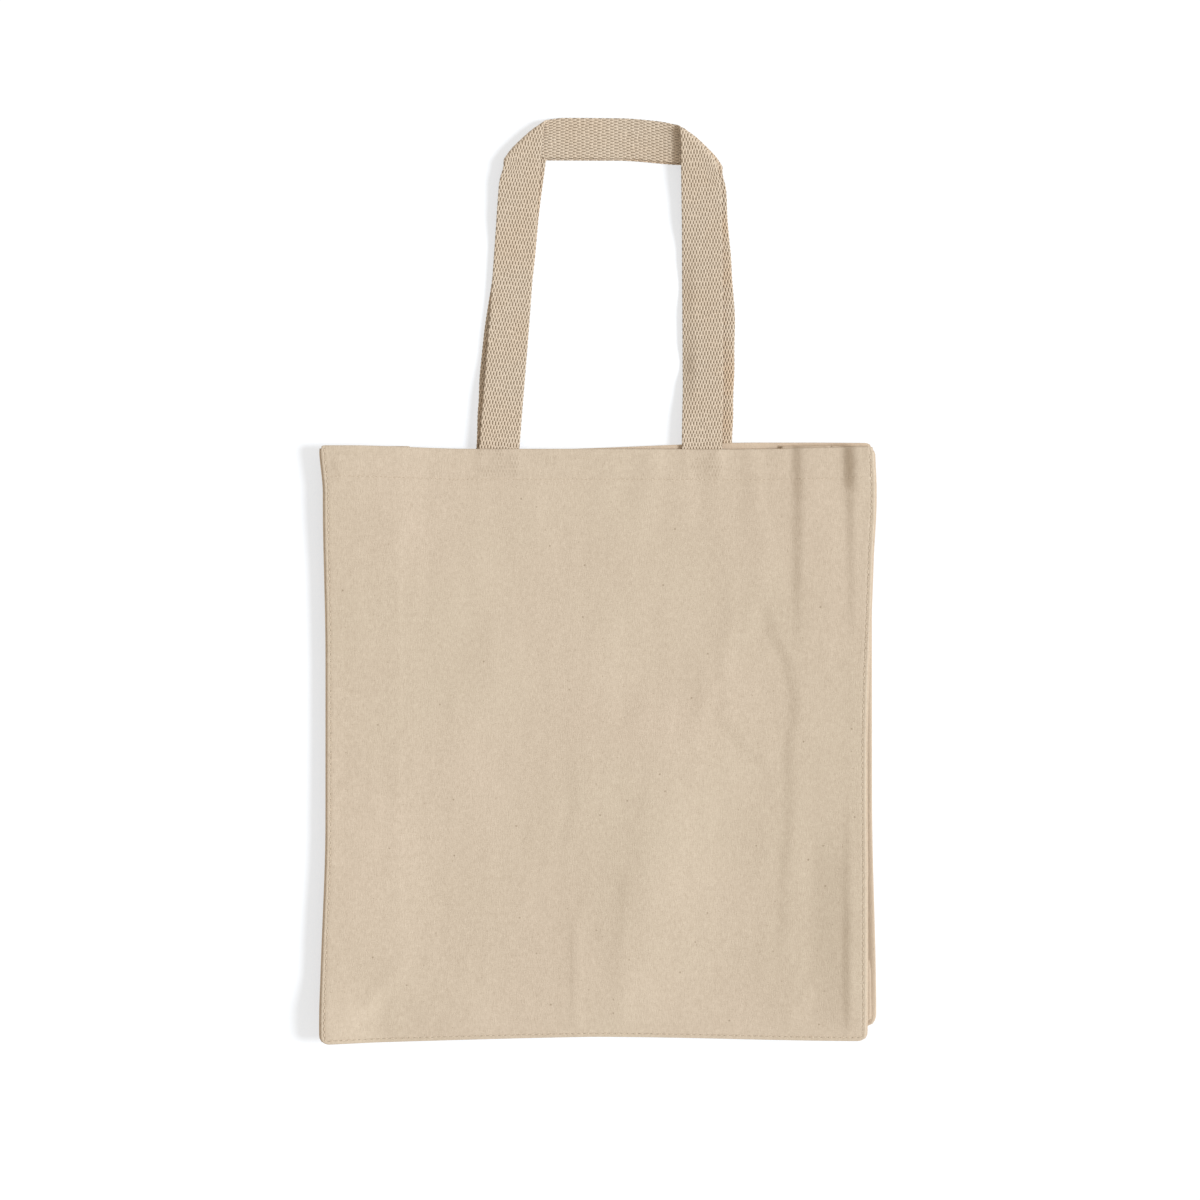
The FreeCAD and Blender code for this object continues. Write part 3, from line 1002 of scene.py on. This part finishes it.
def studio():
    """A white floor, an even pale sky, and a low soft light from the right."""
    floor_drop = 0.6 * MM
    bpy.ops.mesh.primitive_plane_add(size=12, location=(0, 0, -floor_drop))
    floor = bpy.context.object
    floor.name = "floor"
    floor.data.materials.append(floor_paper())
    sun = bpy.data.lights.new("key_light", "SUN")
    sun.energy = 2.79
    sun.angle = math.radians(16)
    sun.color = (0.843, 0.914, 1.0)
    key = bpy.data.objects.new("key_light", sun)
    bpy.context.scene.collection.objects.link(key)
    elevation, turned = math.radians(42), math.radians(-3)
    key.rotation_euler = (0, math.pi / 2 - elevation, turned)
    world = bpy.data.worlds.new("studio")
    world.use_nodes = True
    background = world.node_tree.nodes["Background"]
    background.inputs["Color"].default_value = (1.0, 0.93, 0.845, 1)
    background.inputs["Strength"].default_value = 0.6
    bpy.context.scene.world = world
    bpy.context.scene.view_settings.view_transform = "Standard"


# ---------------------------------------------------------------- the bag
def dress(piece, material, slot, *nodes):
    """Gives a piece its material and hides the CAD nodes that it stands for. slot is not used."""
    piece.data.materials.append(material)
    if nodes:
        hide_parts(*nodes)
    return piece


def build_panels(cloths, seam_cloth, edge_thread, hem_thread):
    """Each panel with the gusset's turned edge under it and its two runs of stitches."""
    for name, edges, base, level, flap, side, coarse in (
        ("front", FRONT_EDGES, FRONT_Z, front_height, -1.0, 1.0, FRONT_GRID),
        ("back", BACK_EDGES, BACK_Z, back_height, 1.0, -1.0, BACK_GRID),
    ):
        sheet = panel(f"{name}_cloth", edges, base, level, flap, coarse)
        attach(dress(sheet, cloths[name], "canvas", f"{name}_panel"), name)
        turn = seam_turn(f"{name}_seam_turn", edges, base, level, -side)
        seams = [f"{name}_{part}_seam" for part in ("left", "bottom", "right")]
        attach(dress(turn, seam_cloth, "seam_canvas", *seams), name)
        edge = edge_path(edges, base, level, side)
        edge = stitches(f"{name}_edge_stitches", edge, EDGE_STITCH, side, EDGE_THREAD_R)
        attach(dress(edge, edge_thread, "thread", f"{name}_edge_stitching"), name)
        hem = hem_path(edges, base, level, side)
        hem = stitches(f"{name}_hem_stitches", hem, HEM_STITCH, side, HEM_THREAD_R)
        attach(dress(hem, hem_thread, "thread", f"{name}_hem_stitching"), name)


def build_side_gusset(side, cloth):
    """The front seam of the right gusset is an open pivot, so its piece there stays with the gusset."""
    label = "left" if side < 0 else "right"
    back, front = f"{label}_gusset_back", f"{label}_gusset_front"
    pieces = side_gusset(side)
    for piece in pieces.values():
        dress(piece, cloth, "gusset_canvas")
    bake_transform(pieces["back"])
    if side < 0:
        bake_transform(pieces["front"])
    else:
        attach(pieces["front"], front)
    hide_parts(back, front)
    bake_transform(pieces["fold"])


def build_bottom_gusset(cloth):
    """Its front seam is an open pivot too, and its creased piece stands for the corner pleats."""
    back, front = "bottom_gusset_back", "bottom_gusset_front"
    pieces = bottom_gusset()
    for piece in pieces.values():
        dress(piece, cloth, "gusset_canvas")
    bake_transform(pieces["back"])
    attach(pieces["front"], front)
    pleats = ["back_left_pleat", "back_right_pleat", "front_left_pleat", "front_right_pleat"]
    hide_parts(back, front, *pleats)
    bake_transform(pieces["fold"])


def build_handles(cloths):
    """Each handle's webbing, from its panel's hem up, built where it lies and attached to no body."""
    for name, lie in (("front", FRONT_HANDLE), ("back", BACK_HANDLE)):
        root_y = node_box(f"{name}_handle_ends")[0][1]
        strap = handle(f"{name}_webbing", lie, root_y)
        dress(strap, cloths[name], "webbing", f"{name}_handle", f"{name}_handle_ends")
        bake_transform(strap)


camera()
studio()
canvas_cloth = canvas("natural_canvas")
# The back panel, the gussets and the seam turns lie in shade, so their copies take painted warm shade
back_cloth = canvas("shaded_canvas", 0.5)
gusset_cloth = canvas("gusset_canvas", 0.4)
seam_cloth = canvas("seam_canvas", 0.35)
# The back handle lies in shade under the front one, so its copy takes more of the painted warm bounce light
webbings = {
    "front": webbing_cloth("cotton_webbing", 0.25),
    "back": webbing_cloth("shaded_cotton_webbing", 0.9),
}
edge_thread = thread("edge_thread", 0.75)
hem_thread = thread("hem_thread", 0.2)
build_panels({"front": canvas_cloth, "back": back_cloth}, seam_cloth, edge_thread, hem_thread)
build_side_gusset(-1, gusset_cloth)
build_side_gusset(1, gusset_cloth)
build_bottom_gusset(gusset_cloth)
build_handles(webbings)
